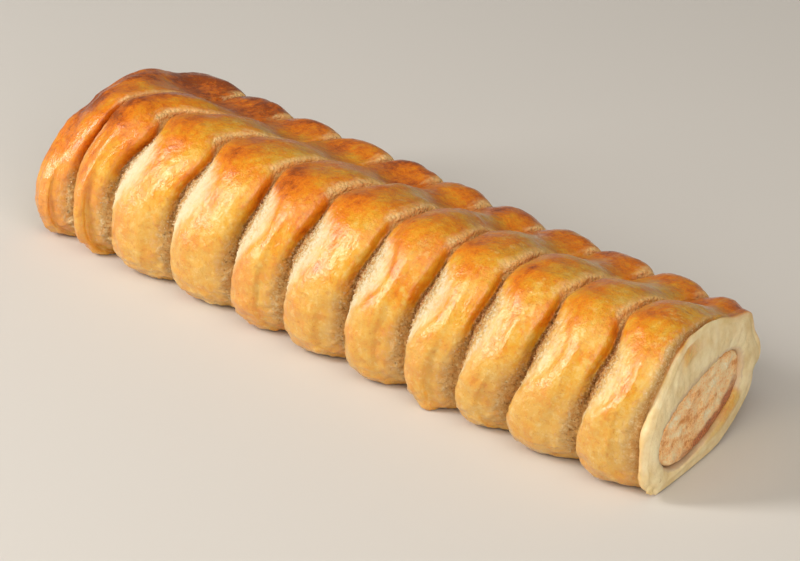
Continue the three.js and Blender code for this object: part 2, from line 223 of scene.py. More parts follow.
def slitOpening(k, turn):
    fromFront = smooth((roll["slitFrontEnd"] - turn) / roll["slitFrontFade"])
    fromBack = smooth((turn - roll["slitBackEnd"]) / roll["slitBackFade"])
    pinch = 1 - roll["creasePinch"] * bell(turn, roll["pinchAngle"], roll["pinchSpread"])
    crown = 1 - roll["crownShallow"] * bell(turn, roll["crownShallowAngle"], roll["crownShallowSpread"])
    opening = fromFront * fromBack * pinch * crown
    vary = 1 + 0.12 * draw(k, 3) + roll["slitVary"] * np.sin(2.6 * turn + 2.4 * k)
    if k == lastSlit:  # the end cut stays shut behind the crown and gapes at the foot
        opening = opening * zone(turn, "endCutTop")
        vary = vary + roll["lastGape"] * zone(turn, "endCutFoot")
    return opening * vary


def slopeRun(k, turn):
    run = roll["slopeWidth"] + roll["slopeMore"] * bell(turn, roll["shoulderAngle"], roll["shoulderSpread"])
    return run * (roll["firstSlope"] if k == 0 else 1)


def lipDropAt(turn):
    return roll["lipDrop"] * bell(turn, roll["lipDropAngle"], roll["lipDropSpread"])


def fillingOutline(angle, grow):
    u = (filling["halfWidth"] + grow) * powerOf(np.cos(angle), filling["power"])
    v = (filling["halfHeight"] + grow) * powerOf(np.sin(angle), filling["power"])
    c, s = math.cos(filling["tilt"]), math.sin(filling["tilt"])
    return filling["centreY"] + u * c - v * s, filling["centreZ"] + u * s + v * c


def wholeTurn(turn):
    return np.where(turn < roll["baseBack"], turn + 2 * math.pi, turn)


def boreOutline(turn):
    crevice = filling["crevice"] * bell(wholeTurn(turn), filling["creviceAngle"], filling["creviceSpread"])
    return fillingOutline(turn, filling["gap"] + crevice)


# how brown the glazed skin is baked, from 0 to 1; pairs are a middle and a spread, or a start and a run
baking = {
    "plain": 0.36, "crest": 0.16, "crestAcross": (0.45, 0.3), "crestAngle": (2.3, 0.5),
    "crown": 0.36, "crownAngle": (1.7, 0.5), "ridge": 0.42, "ridgeAngle": (0.66, 0.36),
    "left": 0.08, "leftAcross": (0.75, -0.6), "foot": 0.02, "uneven": 0.05,
    "farBands": 0.14, "farFrom": (2.5, -2.5), "nearBands": 0.12, "nearFrom": (5, 4),
}


def bakeLevel(turn, across, k):
    left = fadeIn(across, *baking["leftAcross"])
    crest = bell(across, *baking["crestAcross"]) * bell(turn, *baking["crestAngle"])
    level = baking["plain"] + baking["crest"] * crest
    level = level + baking["crown"] * bell(turn, *baking["crownAngle"]) * (0.5 + 0.5 * left)
    level = level + baking["ridge"] * bell(turn, *baking["ridgeAngle"])
    level = level + baking["left"] * left + baking["foot"] * zone(turn, "foot")
    level = level + baking["uneven"] * draw(k, 6)
    level = level + baking["farBands"] * fadeIn(k, *baking["farFrom"])
    return level - baking["nearBands"] * fadeIn(k, *baking["nearFrom"])


# Rows across a slit: how far from its middle when shut, at the round feet and on the leaning side, how
# deep, how many parts up to the next row, how bare and pale (open) the dough is, open being lowest at the
# floor partly as painted shade, how much painted shade (deep) it has, and how much browner its rim.
rimRows = table("back down parts", (0.15, 0.9, 3), (0.55, 0.25, 3), (1.4, 0.0, 3))
crestRows = table("share parts", (0.3, 4), (0.72, 3))
wallRows = table(
    "shut roundX leanX roundDown leanDown parts bareCrown bareLow bareWall open openCrown openLow deep rim",
    (-1.2, -4.2, -roll["crestRun"], 0.1, -0.05, 4, 0.15, 0.0, 0.0, 0.5, 0.2, 0.0, 0.0, 0.0),
    (-0.8, -1.6, 0.0, 0.36, 0.2, 4, 0.85, 0.35, 0.0, 0.42, 0.2, 0.0, 0.0, 0.05),
    (-0.5, 0.4, 0.45, 0.7, 0.56, 3, 0.0, 0.0, 0.85, 0.32, 0.18, 0.06, 0.0, 0.14),
    (-0.2, 2.0, 0.35, 0.97, 0.94, 2, 0.0, 0.0, 1.0, 0.22, 0.2, 0.06, 0.2, 0.25))
slopeRows = table(
    "shut roundX slope roundDown leanDown parts bare open deep rim",
    (0.2, 3.6, 0.0, 1.0, 1.0, 4, 0.95, 0.24, 0.4, 0.0),
    (0.7, 4.6, 0.2, 0.55, 0.66, 4, 1.0, 0.34, 0.0, 0.0),
    (1.3, 5.3, 0.5, 0.12, 0.28, 4, 0.95, 0.62, 0.0, -0.2),
    (2.0, roll["footSlopeEnd"], 1.0, -0.12, 0.02, 4, 0.4, 0.78, 0.0, -0.05))
# deep here is painted shade where the lip drops below the last band
lipRows = table(
    "share down climb parts deep",
    (0.2, 0.0, 0.7, 4, 0.9), (0.4, 0.0, 0.22, 4, 0.2), (0.66, 0.05, 0.0, 4, 0.0), (0.86, 0.3, 0.0, 4, 0.0),
    (0.97, 0.9, 0.0, 1, 0.0))
tears = {
    "shownGain": 1.3, "widthGain": 1.2, "rimAngle": (2.1, 0.7), "farRimAcross": 0.1,
    "cutGain": 2.2, "cutFrom": 0.2, "cutOpen": (0.5, 0.25), "firstBare": 0.5, "firstPale": 0.4,
    "farPaler": 0.12, "farFrom": (3.5, -2), "nearPaler": 0.1, "nearFrom": (5, 3),
    "nearBare": 0.75, "lowPaler": 0.04, "palerTo": 0.7, "lowShade": 0.6, "crestPaler": 0.02,
    "eggAngle": (1.72, 0.16), "eggAcross": (0.95, -0.2), "eggShare": 0.9, "eggPaler": 0.25,
    "lipGlaze": 0.75, "lipGlazeAcross": (0.9, -0.4),
}


# rows of the skin from the far rim to the near rim: place, depth, and what kind of surface each one is
def skinRows(turn):
    y, z = bareSection(turn)
    zero = np.zeros_like(turn)
    lean, onCrown, lowDown = [zone(turn, name) for name in ("leaning", "crown", "lower")]
    paleSide = zone(turn, "paleFoot") * zone(turn, "paleTop")
    rows = []

    def row(x, depth, parts, band, across, slit=0.0, opened=0.0, deep=0.0, lip=0.0, rim=0.0):
        rows.append({"x": x + zero, "depth": depth + zero, "slit": slit + zero, "open": opened + zero,
                     "deep": deep + zero, "lip": lip + zero, "bake": bakeLevel(turn, across, band) + rim,
                     "parts": parts, "band": band, "wall": across == 1.0})

    def inSlit(k, gape, part, leanX):  # place and depth of a row in a slit
        offset = mix(part["shut"], mix(part["roundX"], leanX, lean), clamp01(gape * tears["widthGain"]))
        depth = roll["slitDepth"] * gape * mix(part["roundDown"], part["leanDown"], lean)
        return slitMiddle(k, y, z) + offset, depth

    for part in rimRows:
        x = farEnd(y) + roll["rimRound"] * part["back"]
        row(x, roll["rimRound"] * part["down"], part["parts"], 0, tears["farRimAcross"])
    for k in range(roll["slits"]):
        gape = slitOpening(k, turn)
        shown = clamp01(gape * tears["shownGain"])
        slopeEnd = mix(roll["footSlopeEnd"], roll["floorWidth"] + slopeRun(k - 1, turn), lean)
        start = farEnd(y) + roll["rimRound"] if k == 0 else slitMiddle(k - 1, y, z) + slopeEnd
        for part in crestRows:
            left = part["share"] < 0.5
            x = mix(start, slitMiddle(k, y, z) - roll["crestRun"], part["share"])
            puff = roll["crestRise"] * (1 + roll["crestVary"] * draw(k, 4))
            puff = puff * smooth((roll["slitFrontEnd"] - roll["crestFootIn"] - turn) / roll["crestFootFade"])
            if left:  # no step where the slope meets the crest
                shoulder = bell(turn, roll["shoulderAngle"], roll["shoulderSpread"])
                puff = puff * (1 - roll["crestEase"] * lean * shoulder)
            tipped = roll["footTip"] * (1 - lean) * (1 if left else -0.5)  # the feet stand out on their left
            setBack = roll["lastFootIn"] * zone(turn, "setBack") * (k == lastSlit)
            uneven = roll["crestUneven"] * unevenness(x, turn) * clamp01(np.sin(turn) + 0.8)
            row(x, setBack - puff - tipped - uneven, part["parts"], k, part["share"],
                rim=-tears["crestPaler"] * left * paleSide)
        bareWall = np.maximum(onCrown, lowDown)  # elsewhere baked skin runs down the wall
        for part in wallRows:
            x, depth = inSlit(k, gape, part, part["leanX"])
            slit = part["bareCrown"] * onCrown + part["bareLow"] * lowDown + part["bareWall"] * bareWall
            opened = part["open"] + part["openCrown"] * onCrown + part["openLow"] * lowDown
            if k == lastSlit:  # a cut edge, tan at its rim and darker below, the darkening painted shade
                slit = clamp01(part["roundDown"] * tears["cutGain"] - tears["cutFrom"])
                opened = tears["cutOpen"][0] - tears["cutOpen"][1] * part["roundDown"]
            row(x, depth, part["parts"], k, 1.0, slit * shown, opened, part["deep"] * shown * (1 - onCrown),
                rim=part["rim"] * shown * bell(turn, *tears["rimAngle"]))
        if k == lastSlit:
            break
        nearShare = fadeIn(k, *tears["nearFrom"])
        torn = zone(turn, "tornFoot") * zone(turn, "tornTop") * (tears["firstBare"] if k == 0 else 1)
        # palest at the far end, where the slits are widest
        paler = tears["farPaler"] * fadeIn(k, *tears["farFrom"]) - tears["nearPaler"] * nearShare
        for part in slopeRows:
            x, depth = inSlit(k, gape, part, roll["floorWidth"] + part["slope"] * slopeRun(k, turn))
            narrowed = mix(1, zone(turn, "slopeTop"), smooth(part["slope"] * 2))  # glaze runs over its top
            narrowed = narrowed * (1 - tears["nearBare"] * part["slope"] * nearShare)
            opened = part["open"] + (paler + tears["lowPaler"] * lowDown) * (part["open"] < tears["palerTo"])
            deep = part["deep"] * shown * (1 - onCrown) * (1 - tears["lowShade"] * lowDown)
            row(x, depth, part["parts"], k + 1, 0.0, part["bare"] * shown * torn * narrowed, opened, deep,
                rim=part["rim"] * shown * paleSide * (tears["firstPale"] if k == 0 else 1))
    floor = roll["slitDepth"] * slitOpening(lastSlit, turn)
    low = lipDropAt(turn)
    for part in lipRows:
        share = part["share"]
        depth = mix(low, np.maximum(low, floor), part["climb"]) + roll["rimRound"] * part["down"]
        pale = mix(smooth(share * 2.5), smooth(share * 2 - 1), zone(turn, "lipBack"))
        egg = bell(turn, *tears["eggAngle"]) * fadeIn(share, *tears["eggAcross"])  # a run of egg
        glazed = tears["lipGlaze"] * zone(turn, "foot") * fadeIn(share, *tears["lipGlazeAcross"])
        row(nearEnd(y) - lipThickness(y) * (1 - share), depth, part["parts"], roll["slits"], share,
            deep=part["deep"] * (low > 0.2), lip=pale * (1 - glazed) * (1 - tears["eggShare"] * egg),
            rim=-tears["eggPaler"] * egg)
    return rows


def smoothRows(rows, key, at, t):  # a curve that passes through every row
    a, b, c, d = [rows[min(max(at + i, 0), len(rows) - 1)][key] for i in (-1, 0, 1, 2)]
    square, cube = (2 * a - 5 * b + 4 * c - d) * t ** 2, (3 * b - a - 3 * c + d) * t ** 3
    return 0.5 * (2 * b + (c - a) * t + square + cube)


# the cut ends of the pastry, shares from the rim to the filling
cutFace = {
    "rings": 13, "firstRing": 0.06, "rimDown": 0.9, "bulge": 1.88, "dip": 2.18, "wobble": 0.12, "boreIn": 3,
    "bake": 0.34, "golden": 0.9, "goldenAngle": (5.4, 0.55), "goldenFrom": (0.42, 0.25),
    "egg": 0.95, "eggAngle": (1.66, 0.17), "eggTo": (0.42, -0.15),
    "eggPaler": 0.06, "eggPaleAngle": (1.66, 0.3),
    "creviceFrom": (0.85, 0.15), "creviceSpread": 0.7, "moistFrom": (0.55, 0.45), "mark": 12,
}
streaks = {"bandApart": 40, "faceAt": 500, "faceRun": 20}  # so that they differ on each band and on the cut ends


def caseRings(turn):
    rows = skinRows(turn)
    rings, marks = [], []
    y, z = bareSection(turn)
    zero = np.zeros_like(turn)
    around = np.concatenate([[0], np.cumsum(np.hypot(np.diff(y), np.diff(z)))])
    boreY, boreZ = boreOutline(turn)
    for at, here in enumerate(rows):
        after = rows[min(at + 1, len(rows) - 1)]
        band = here["band"]
        for i in range(here["parts"]):
            share = i / here["parts"]
            x = smoothRows(rows, "x", at, share)
            rings.append(skinPoint(x, turn, smoothRows(rows, "depth", at, share)))
            mark = {key: mix(here[key], after[key], share) for key in ("slit", "open", "deep", "lip", "bake")}
            side = x - slitMiddle(min(band, lastSlit), y, z) + streaks["bandApart"] * band
            mark.update(face=zero, inner=zero, run=around, turn=turn, side=side,
                        band=zero + band + (band == lastSlit and here["wall"]))
            marks.append(mark)

    def faceRing(endOf, outwards, share):
        drop = lipDropAt(turn) if outwards > 0 else 0
        rim = skinPoint(endOf(y), turn, roll["rimRound"] * cutFace["rimDown"] + drop)
        fy, fz = mix(rim[:, 1], boreY, share), mix(rim[:, 2], boreZ, share)
        bulge = cutFace["bulge"] * share - cutFace["dip"] * share ** 2  # out to the middle, in to the filling
        wobble = cutFace["wobble"] * unevenness(fy * 2.5, turn * 2 + outwards) * smooth(share / 0.3)
        rings.append(np.stack([endOf(fy) + outwards * (bulge + wobble), fy, fz], -1))
        whole = wholeTurn(turn)
        # painted shade in the crevice beside the filling, carried as the deep mark
        crevice = bell(whole, filling["creviceAngle"], cutFace["creviceSpread"])
        crevice = fadeIn(share, *cutFace["creviceFrom"]) * crevice
        golden = cutFace["golden"] * bell(whole, *cutFace["goldenAngle"])  # baked beside the filling
        golden = golden * fadeIn(share, *cutFace["goldenFrom"])
        if outwards > 0:  # a run of egg below the near rim
            egg = cutFace["egg"] * bell(whole, *cutFace["eggAngle"]) * fadeIn(share, *cutFace["eggTo"])
            golden = np.maximum(golden, egg)
        marks.append({"slit": zero, "open": zero, "deep": crevice, "lip": 1 - golden,
                      "bake": cutFace["bake"] - cutFace["eggPaler"] * bell(whole, *cutFace["eggPaleAngle"]),
                      "face": smooth(share * 5) * (1 - golden),
                      "inner": zero + fadeIn(share, *cutFace["moistFrom"]),
                      "run": around, "turn": turn, "band": zero + cutFace["mark"],
                      "side": zero + streaks["faceAt"] + streaks["faceRun"] * share})

    shares = np.linspace(cutFace["firstRing"], 1, cutFace["rings"])
    for share in shares:
        faceRing(nearEnd, 1, share)
    for endOf, inwards in ((nearEnd, -1), (farEnd, 1)):  # the bore
        rings.append(np.stack([endOf(boreY) + inwards * cutFace["boreIn"], boreY, boreZ], -1))
        marks.append(dict(marks[-1]))
    for share in shares[::-1]:
        faceRing(farEnd, -1, share)
    return rings, marks


def sideAngles():  # from the middle of the base, up the back, over the top and down the front
    baseBack, backTop, baseFront = roll["baseBack"], roll["backTop"], roll["baseFront"]
    under = 2 * math.pi + baseBack - baseFront
    half = roll["sidesBase"] // 2
    stretches = ((baseBack - under / 2, baseBack, half), (baseBack, backTop, roll["sidesBack"]),
                 (backTop, baseFront, roll["sidesTop"]), (baseFront, baseFront + under / 2, half))
    return np.concatenate([np.linspace(*stretch, endpoint=False) for stretch in stretches])


def gridFrom(name, rings, marks, closeRings):  # a grid primitive whose points are laid on rings, seams merged
    bpy.ops.object.select_all(action="DESELECT")
    rowCount = len(rings) if closeRings else len(rings) - 1
    sideCount = len(rings[0])
    bpy.ops.mesh.primitive_grid_add(x_subdivisions=rowCount, y_subdivisions=sideCount, size=2)
    piece = bpy.context.object
    piece.name = name
    piece.data.name = name
    mesh = piece.data
    flat = np.empty(len(mesh.vertices) * 3)
    mesh.vertices.foreach_get("co", flat)
    flat = flat.reshape(-1, 3)
    i = np.rint((flat[:, 0] + 1) / 2 * rowCount).astype(int) % len(rings)
    j = np.rint((flat[:, 1] + 1) / 2 * sideCount).astype(int) % sideCount
    points = np.stack(rings)
    mesh.vertices.foreach_set("co", (points[i, j] * mm).astype(np.float32).ravel())
    for key in marks[0]:
        mark = mesh.attributes.new(key, "FLOAT", "POINT")
        mark.data.foreach_set("value", np.stack([m[key] for m in marks])[i, j].astype(np.float32))
    mesh.update()
    bpy.ops.object.mode_set(mode="EDIT")
    bpy.ops.mesh.select_all(action="SELECT")
    bpy.ops.mesh.remove_doubles(threshold=1e-7)
    bpy.ops.mesh.normals_make_consistent(inside=False)
    bpy.ops.mesh.select_all(action="DESELECT")
    bpy.ops.object.mode_set(mode="OBJECT")
    bpy.ops.object.shade_smooth()
    return piece


def readMark(mesh, key):
    values = np.empty(len(mesh.vertices), np.float32)
    mesh.attributes[key].data.foreach_get("value", values)
    return values


def weightGroup(piece, name, weights):  # in sixteen levels, so that it stays quick
    group = piece.vertex_groups.new(name=name)
    levels = np.rint(clamp01(weights) * 16).astype(int)
    for level in range(1, 17):
        group.add(np.flatnonzero(levels == level).tolist(), level / 16, "REPLACE")


def roughen(piece, name, grainMm, heightMm, group, noise="SOFT_NOISE"):  # a displaced relief, applied
    grain = bpy.data.textures.new(name, "CLOUDS")
    grain.noise_type = noise
    grain.noise_depth = 2
    grain.noise_scale = grainMm * mm
    lift = piece.modifiers.new(name, "DISPLACE")
    lift.texture = grain
    lift.texture_coords = "LOCAL"
    lift.strength = heightMm * mm
    lift.mid_level = 0.5
    lift.vertex_group = group
    bpy.context.view_layer.objects.active = piece
    bpy.ops.object.modifier_apply(modifier=lift.name)


reliefs = (  # name, grain and height in millimetres, and the part of the skin that has it
    ("spongeHoles", 1.6, 1.1, "slitDough", "HARD_NOISE"), ("tornCrumb", 0.9, 0.6, "tornDough"),
    ("dents", 7.0, 0.7, "glazedSkin"), ("blisters", 2.6, 0.25, "glazedSkin"),
    ("footLumps", 3.6, 0.9, "feet"), ("footWrinkles", 1.8, 0.6, "footEdges"),
    ("cutCrumb", 2.0, 0.55, "cutDough"),
)
crumbShare = {"lessWhereOpen": 1.15, "onEndCut": 0.3, "lessOnPale": 0.6, "paleFrom": (0.5, 0.3)}
rings, marks = caseRings(sideAngles())
pastry = gridFrom("bakedPastry", rings, marks, True)
slitMark, openMark, faceMark, turnMark, bandMark = [readMark(pastry.data, key) for key in
                                                    ("slit", "open", "face", "turn", "band")]
beforeEndCut = bandMark < roll["slits"] - 0.5
offBase = zone(turnMark, "baseFront") * zone(turnMark, "baseBack")
offFace = (1 - faceMark) * offBase
weightGroup(pastry, "slitDough", slitMark * offBase * (crumbShare["lessWhereOpen"] - openMark)
            * np.where(beforeEndCut, 1, crumbShare["onEndCut"]))
weightGroup(pastry, "tornDough", slitMark * offBase
            * (1 - crumbShare["lessOnPale"] * fadeIn(openMark, *crumbShare["paleFrom"])))
weightGroup(pastry, "glazedSkin", (1 - slitMark) * offFace)
weightGroup(pastry, "cutDough", faceMark)
weightGroup(pastry, "feet", zone(turnMark, "foot") * offFace)
weightGroup(pastry, "footEdges", zone(turnMark, "footEdge") * offFace)
for relief in reliefs:
    roughen(pastry, *relief)
spots = np.empty(len(pastry.data.vertices) * 3, np.float32)
pastry.data.vertices.foreach_get("co", spots)
spots[2::3] = np.maximum(spots[2::3], 0)  # the base stays flat
pastry.data.vertices.foreach_set("co", spots)
pastry.data.update()
print("pastry case:", len(pastry.data.vertices), "points")

# loose shreds of torn dough that stand up in the slits, one small shape copied
shreds = {"count": 900, "longMm": 0.85, "wideMm": 0.5, "thickMm": 0.26, "seed": 11,
          "smallest": 0.5, "largest": 1.3, "upright": 0.6, "scatter": 0.7,
          "tornFrom": (0.5, 0.4), "halfOpen": (0.42, 0.2)}
bpy.ops.object.select_all(action="DESELECT")
bpy.ops.mesh.primitive_ico_sphere_add(subdivisions=1, radius=0.5)
shred = bpy.context.object
shape = np.empty(len(shred.data.vertices) * 3)
shred.data.vertices.foreach_get("co", shape)
shape = shape.reshape(-1, 3) * np.array([shreds["longMm"], shreds["wideMm"], shreds["thickMm"]]) * mm
facets = np.array([list(p.vertices) for p in shred.data.polygons])
bpy.ops.object.delete()
chance = np.random.default_rng(shreds["seed"])
likely = fadeIn(slitMark, *shreds["tornFrom"]).astype(float) * offBase * bell(openMark, *shreds["halfOpen"])
likely = likely * zone(turnMark, "shredTop") * zone(turnMark, "shredFoot") * beforeEndCut
places = chance.choice(len(likely), shreds["count"], p=likely / likely.sum())
normals = np.empty(len(pastry.data.vertices) * 3, np.float32)
pastry.data.vertices.foreach_get("normal", normals)
spots, normals = spots.reshape(-1, 3)[places], normals.reshape(-1, 3)[places]
lengthwise = normals * shreds["upright"] + chance.normal(0, shreds["scatter"], spots.shape)
lengthwise /= np.linalg.norm(lengthwise, axis=1)[:, None]
crosswise = np.cross(lengthwise, chance.normal(0, 1, spots.shape))
crosswise /= np.linalg.norm(crosswise, axis=1)[:, None]
third = np.cross(lengthwise, crosswise)
size = chance.uniform(shreds["smallest"], shreds["largest"], shreds["count"])[:, None, None]
corners = (shape[None, :, 0:1] * lengthwise[:, None] + shape[None, :, 1:2] * crosswise[:, None]
           + shape[None, :, 2:3] * third[:, None]) * size + spots[:, None]
allFacets = facets[None] + np.arange(shreds["count"])[:, None, None] * len(shape)
shredMesh = bpy.data.meshes.new("tornShreds")
shredMesh.from_pydata(corners.reshape(-1, 3).tolist(), [], allFacets.reshape(-1, 3).tolist())
tornShreds = bpy.data.objects.new("tornShreds", shredMesh)
bpy.context.scene.collection.objects.link(tornShreds)
pale = shredMesh.attributes.new("open", "FLOAT", "POINT")
pale.data.foreach_set("value", np.repeat(openMark[places], len(shape)).astype(np.float32))
shredMesh.update()
print("shreds:", len(shredMesh.polygons), "faces")

# the minced filling, a core with lumpy ends
angles = np.linspace(0, 2 * math.pi, filling["sides"], endpoint=False)
outlineY, outlineZ = fillingOutline(angles, 0)
endRings = [(share, 0.0) for share in np.linspace(0, filling["flatTo"], filling["faceRings"])]
endRings = endRings + list(filling["edges"])
coreRings, coreMarks = [], []
for endOf, inwards in ((farEnd, 1), (nearEnd, -1)):
    for share, back in endRings[::inwards]:
        fy, fz = mix(filling["centreY"], outlineY, share), mix(filling["centreZ"], outlineZ, share)
        coreRings.append(np.stack([endOf(fy) + inwards * (filling["recess"] + back), fy, fz], -1))
        edge = fadeIn(share, filling["friedFrom"], filling["friedRun"])
        coreMarks.append({"browned": edge * bell(angles, filling["friedAngle"], filling["friedSpread"])})
core = gridFrom("mincedFilling", coreRings, coreMarks, False)
weightGroup(core, "cutMince", np.ones(len(core.data.vertices)))
roughen(core, "mincedLumps", filling["lumpMm"], filling["lumpHigh"], "cutMince")
print("filling:", len(core.data.vertices), "points")


# materials

def linear(code):  # sRGB hex to linear colour
    parts = [int(code[i:i + 2], 16) / 255 for i in (1, 3, 5)]
    return [c / 12.92 if c <= 0.04045 else ((c + 0.055) / 1.055) ** 2.4 for c in parts] + [1.0]


# tree and known are the nodes and the marks and noises of the material that is being made
modeOf = {"Math": "operation", "VectorMath": "operation", "Mix": "data_type",
          "MapRange": "interpolation_type", "Attribute": "attribute_name"}


def put(kind, mode=None, inputs=None, stops=(), out=None):  # adds a node to the tree, sets it and links it
    new = tree.nodes.new("ShaderNode" + kind)
    if mode:
        setattr(new, modeOf[kind], mode)
    for i, (place, colour) in enumerate(stops):
        if i > 1:  # a new ramp has two colours
            new.color_ramp.elements.new(1.0)
        new.color_ramp.elements[i].position = place
        new.color_ramp.elements[i].color = linear(colour)
    for key, value in (inputs or {}).items():
        if isinstance(value, bpy.types.NodeSocket):
            tree.links.new(value, new.inputs[key])
        else:
            new.inputs[key].default_value = value
    if out:
        return new.outputs[out]
    return next((socket for socket in new.outputs if socket.enabled), None)


def newMaterial(name):
    material = bpy.data.materials.new(name)
    material.use_nodes = True
    material.node_tree.nodes.clear()
    return material, material.node_tree


def stirred(base, amounts):  # noises of mean 0.5 added to a value, half of each amount up or down
    for key, amount in amounts.items():
        base = put("Math", "MULTIPLY_ADD", {0: known[key], 1: amount, 2: base})
    return put("Math", "SUBTRACT", {0: base, 1: 0.5 * sum(amounts.values())})


def covering(strength, *limits):  # how much a layer covers: none at the first limit, all at the second
    for key, none, full in limits:
        ramp = put("MapRange", "SMOOTHSTEP", {"Value": known[key], "From Min": none, "From Max": full})
        strength = put("Math", "MULTIPLY", {0: ramp, 1: strength})
    return strength


def layered(base, look, layers):
    for colour, strength, *limits in layers:
        base = put("Mix", "RGBA", {0: covering(strength, *limits), 6: base, 7: linear(look[colour])})
    return base


# Baked puff pastry brushed with egg: the crests a glossy mottled brown, the torn slits dry, pale and open.
pastryLook = {
    "evenMm": {"mottle": (6.5, 3.0), "egg": (3.0, 3.0), "speck": (1.2, 3.0), "fleck": (1.9, 5.0),
               "fine": (0.45, 3.0), "pit": (0.9, 4.0)},  # grain and detail
    "pulledMm": {"streak": (5.5, 1.3, 3.0), "swell": (4.5, 2.6, 2.0), "wrinkle": (1.7, 1.0, 3.0),
                 "fringe": (3.2, 1.4, 4.0)},  # grain round the roll and along it, and detail
    "crumbMm": 0.9, "evenRough": 0.65, "pulledRough": 0.6,
    "bakeNoise": {"mottle": 1.1, "streak": 0.4, "speck": 0.55, "fine": 0.35},
    "openNoise": {"speck": 0.6, "fine": 0.4}, "tearNoise": {"fringe": 1.0, "speck": 0.6},
    "moistNoise": {"speck": 0.8},
    "glaze": ((0.0, "#efd597"), (0.14, "#e8bc5c"), (0.32, "#e6a930"), (0.5, "#e69419"), (0.68, "#e47f0e"),
              (0.85, "#cb650b"), (1.0, "#9a4808")),
    "slit": ((0.0, "#a5692a"), (0.2, "#bd8848"), (0.36, "#cba265"), (0.5, "#dcc394"), (0.66, "#e6d8b6"),
             (0.85, "#e2cc98"), (1.0, "#e4bc74")),
    "dough": ((0.3, "#e6c88c"), (0.65, "#fdebbe")),
    "egg": "#e6ba58", "foot": "#dba955", "brownSpeck": "#a3601f", "brownFleck": "#c8741a",
    "paleFleck": "#f2d080", "fluff": "#f6ead0", "pit": "#744416", "litCrownSlit": "#ffcc80", "moist": "#d2b39a",
    "shine": "#fff4e4",
    "overGlaze": (
        ("egg", 1.0, ("egg", 0.57, 0.72), ("bake", 0.62, 0.4)), ("foot", 0.4, ("turn", 2.5, 3.1)),
        ("brownSpeck", 0.5, ("fine", 0.63, 0.72)), ("brownFleck", 0.4, ("fleck", 0.55, 0.66)),
        ("paleFleck", 0.45, ("fleck", 0.45, 0.34), ("bake", 0.6, 0.4))),
    "overSlit": (
        # the dark pits are painted shade in the holes of the crumb
        ("fluff", 0.45, ("fine", 0.54, 0.68), ("turn", 3.0, 2.4)), ("pit", 0.42, ("hole", 0.54, 0.4)),
        # painted light: the crown strips are coloured lighter than the crumb, standing in for light in the
        # narrow slit
        ("litCrownSlit", 0.8, ("turn", 2.05, 1.6), ("band", 11.0, 10.3))),
    "overDough": (("moist", 0.5, ("wet", 0.6, 1.0)),),
    # painted shade between the crumbs, less of it up the slope, at the feet and on the end cut
    "gapsAt": (("crumb", 0.3, 0.75), ("open", 1.0, 0.45), ("band", 11.2, 10.2), ("turn", 3.3, 2.5)),
    "tornAt": (("tear", 0.1, 0.95),), "holesAt": (("hole", 0.54, 0.4),),
    "coarseAt": (("open", 0.9, 0.5), ("band", 11.0, 10.3)),
    "gapShade": -0.22, "openFewerPits": 0.35, "deepShade": 0.18,
    "reliefMm": {"swell": 0.22, "wrinkle": 0.2, "speck": 0.2, "fine": 0.12},
    "crumbSpeckMm": 0.7, "crumbFineMm": 0.2, "crumbHoleMm": -0.5, "bump": 0.8,
    "glazeRough": 0.3, "coat": 0.9, "coatRough": 0.2, "dryRough": 0.85, "ior": 1.46,
    "under": 0.1, "underScale": 0.002, "underRadius": (1.0, 0.5, 0.25),
}
pastryMaterial, tree = newMaterial("eggGlazedPuffPastry")
known = {key: put("Attribute", key, out="Fac") for key in
         ("slit", "open", "deep", "lip", "face", "inner", "bake", "run", "side", "turn", "band")}
spot = put("TexCoord", out="Object")
flow = put("CombineXYZ", None, {0: known["run"], 1: known["side"]})  # round the roll, along the roll
for key, (grain, detail) in pastryLook["evenMm"].items():
    known[key] = put("TexNoise", None, {"Vector": spot, "Scale": 1 / (grain * mm), "Detail": detail,
                                        "Roughness": pastryLook["evenRough"]})
for key, (longMm, wideMm, detail) in pastryLook["pulledMm"].items():
    pulled = put("VectorMath", "MULTIPLY", {0: flow, 1: (1 / longMm, 1 / wideMm, 0)})
    known[key] = put("TexNoise", None, {"Vector": pulled, "Scale": 1.0, "Detail": detail,
                                        "Roughness": pastryLook["pulledRough"]})
known["crumb"] = put("TexVoronoi", None, {"Vector": spot, "Scale": 1 / (pastryLook["crumbMm"] * mm)})
known["hole"] = put("Math", "MULTIPLY_ADD", {0: known["open"], 1: pastryLook["openFewerPits"],
                                             2: known["pit"]})
known["tear"] = stirred(known["slit"], pastryLook["tearNoise"])
known["wet"] = stirred(known["inner"], pastryLook["moistNoise"])
baked = stirred(known["bake"], pastryLook["bakeNoise"])
glaze = put("ValToRGB", None, {"Fac": baked}, pastryLook["glaze"])
glaze = layered(glaze, pastryLook, pastryLook["overGlaze"])
gaps = covering(1.0, *pastryLook["gapsAt"])
# the paleness of the torn dough; its low values at the slit floors are partly painted shade
opened = stirred(known["open"], pastryLook["openNoise"])
opened = put("Math", "MULTIPLY_ADD", {0: gaps, 1: pastryLook["gapShade"], 2: opened})
slitTone = put("ValToRGB", None, {"Fac": opened}, pastryLook["slit"])
slitTone = layered(slitTone, pastryLook, pastryLook["overSlit"])
doughTone = put("ValToRGB", None, {"Fac": known["mottle"]}, pastryLook["dough"])
doughTone = layered(doughTone, pastryLook, pastryLook["overDough"])
slitShare = covering(1.0, *pastryLook["tornAt"])
doughShare = put("Math", "MAXIMUM", {0: known["face"], 1: known["lip"]})
